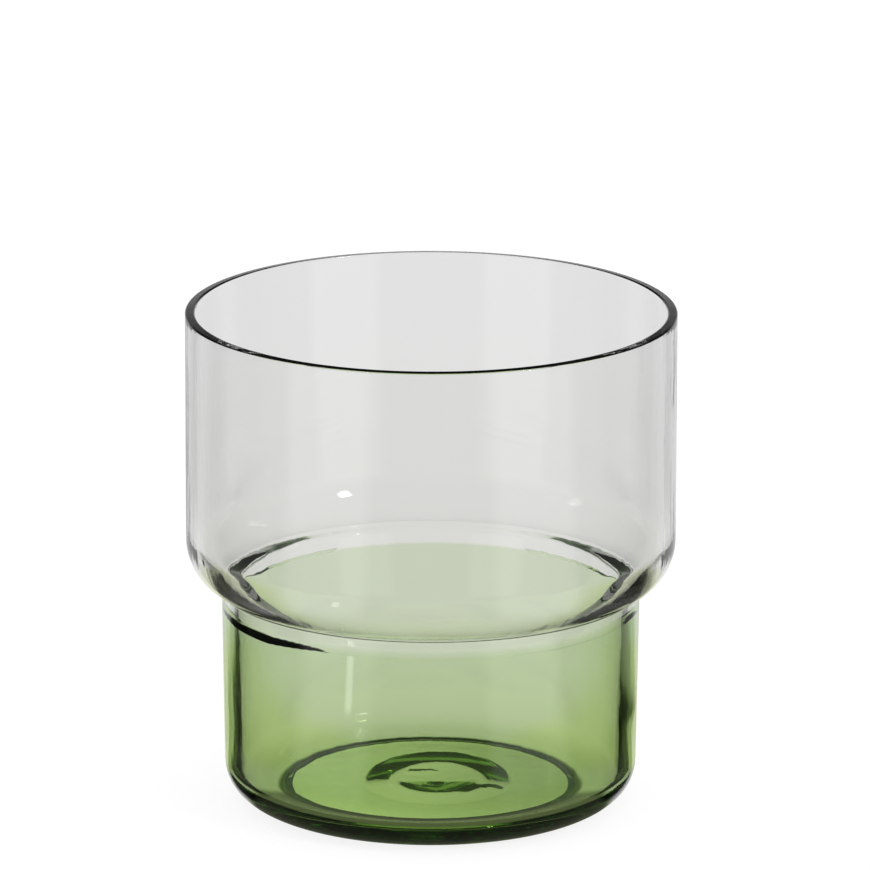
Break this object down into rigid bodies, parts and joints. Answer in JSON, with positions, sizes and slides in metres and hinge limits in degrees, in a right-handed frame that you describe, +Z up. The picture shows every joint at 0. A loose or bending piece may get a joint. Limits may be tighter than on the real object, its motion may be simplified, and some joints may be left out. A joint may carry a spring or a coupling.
{
  "type": "drinking glass",
  "caption": "Stepped tumbler for cold drinks: a wide clear glass bowl with a round shoulder, fused to a narrower green glass cup with a heavy base.",
  "frame": {"origin": "middle of the standing ring, on the table", "axes": "+Z up along the glass's axis of revolution; X and Y are level and alike, because the glass is round"},
  "size_m": [0.085, 0.085, 0.0875],
  "materials": {
    "clear_glass": "fire polished",
    "green_glass": "fire polished"
  },
  "bodies": {
    "root": {"clear_bowl": "clear_glass", "green_cup": "green_glass"}
  },
  "joints": []
}
